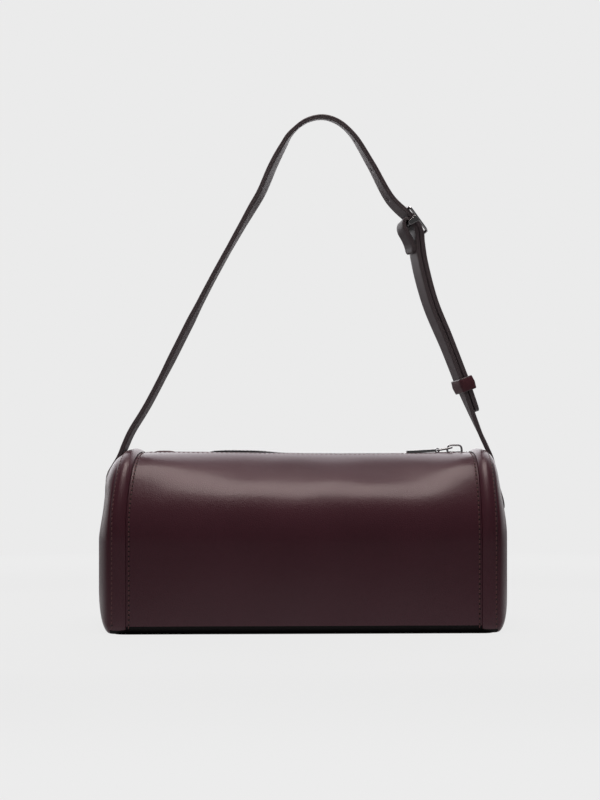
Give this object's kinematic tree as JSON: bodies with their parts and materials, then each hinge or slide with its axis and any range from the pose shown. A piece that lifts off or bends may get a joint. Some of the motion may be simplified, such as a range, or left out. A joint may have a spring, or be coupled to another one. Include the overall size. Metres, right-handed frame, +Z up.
{
  "type": "shoulder bag",
  "caption": "Small leather barrel shoulder bag with a zipped top that opens, sewn end bands, domed ends and a buckled strap that swings.",
  "frame": {"origin": "middle of the base, on the surface that the bag stands on", "axes": "+Z up, +X along the bag's length towards the end with the zip slider and the buckle, -Y out of the front"},
  "size_m": [0.2862, 0.1262, 0.3672],
  "materials": {
    "body_leather": "semi-gloss",
    "strap_leather": "semi-gloss",
    "keeper_leather": "semi-gloss",
    "lining": "matte",
    "tape": "matte",
    "board": "matte",
    "silver": "polished"
  },
  "bodies": {
    "body": {"front_panel": "body_leather", "back_panel": "body_leather", "base_panel": "body_leather", "base_board": "board", "main_lining": "lining", "left_end_band": "body_leather", "right_end_band": "body_leather", "left_end_panel": "body_leather", "right_end_panel": "body_leather", "left_strap_end": "strap_leather", "right_strap_end": "strap_leather", "zip_bottom_stop": "silver", "zip_end_tab": "body_leather"},
    "front_mouth": {"front_top_flap": "body_leather", "front_zip_tape": "tape", "front_flap_lining": "lining", "front_zip_teeth": "silver"},
    "back_mouth": {"back_top_flap": "body_leather", "back_zip_tape": "tape", "back_flap_lining": "lining", "back_zip_teeth": "silver"},
    "slider": {"zip_slider": "silver"},
    "link": {"pull_link": "silver"},
    "pull": {"pull_bar": "silver"},
    "strap": {"long_strap": "strap_leather", "short_strap": "strap_leather", "buckle_frame": "silver"},
    "prong": {"buckle_prong": "silver"},
    "keeper": {"strap_keeper": "keeper_leather"}
  },
  "joints": [
    {"name": "zip_slide", "type": "slide", "parent": "body", "child": "slider", "axis": [1, 0, 0], "range_m": [-0.1868, 0], "deforming": ["front_zip_tape", "back_zip_tape", "front_zip_teeth", "back_zip_teeth"]},
    {"name": "mouth_front", "type": "hinge", "parent": "body", "child": "front_mouth", "pos_m": [0, -0.04548, 0.10325], "axis": [1, 0, 0], "range_deg": [0, 45]},
    {"name": "mouth_back", "type": "hinge", "parent": "body", "child": "back_mouth", "pos_m": [0, 0.04548, 0.10325], "axis": [1, 0, 0], "range_deg": [-45, 0]},
    {"name": "link_hinge", "type": "hinge", "parent": "slider", "child": "link", "pos_m": [0.10819, 0, 0.12675], "axis": [0, 1, 0], "range_deg": [0, 75]},
    {"name": "pull_hinge", "type": "hinge", "parent": "link", "child": "pull", "pos_m": [0.09778, 0, 0.12475], "axis": [0, 1, 0], "range_deg": [0, 25]},
    {"name": "strap_swing", "type": "hinge", "parent": "body", "child": "strap", "pos_m": [0, 0, 0.1374], "axis": [1, 0, 0], "range_deg": [-55, 55]},
    {"name": "prong_hinge", "type": "hinge", "parent": "strap", "child": "prong", "pos_m": [0.07562, -0.00111, 0.28636], "axis": [-0.1682, 0.9781, -0.1222], "range_deg": [0, 18]},
    {"name": "keeper_slide", "type": "slide", "parent": "strap", "child": "keeper", "axis": [0.359, 0, -0.9333], "range_m": [-0.012, 0.008]}
  ],
  "couplings": [
    {"joint": "mouth_front", "follows": "zip_slide", "rad_per_m": -4.2},
    {"joint": "mouth_back", "follows": "zip_slide", "rad_per_m": 4.2}
  ]
}
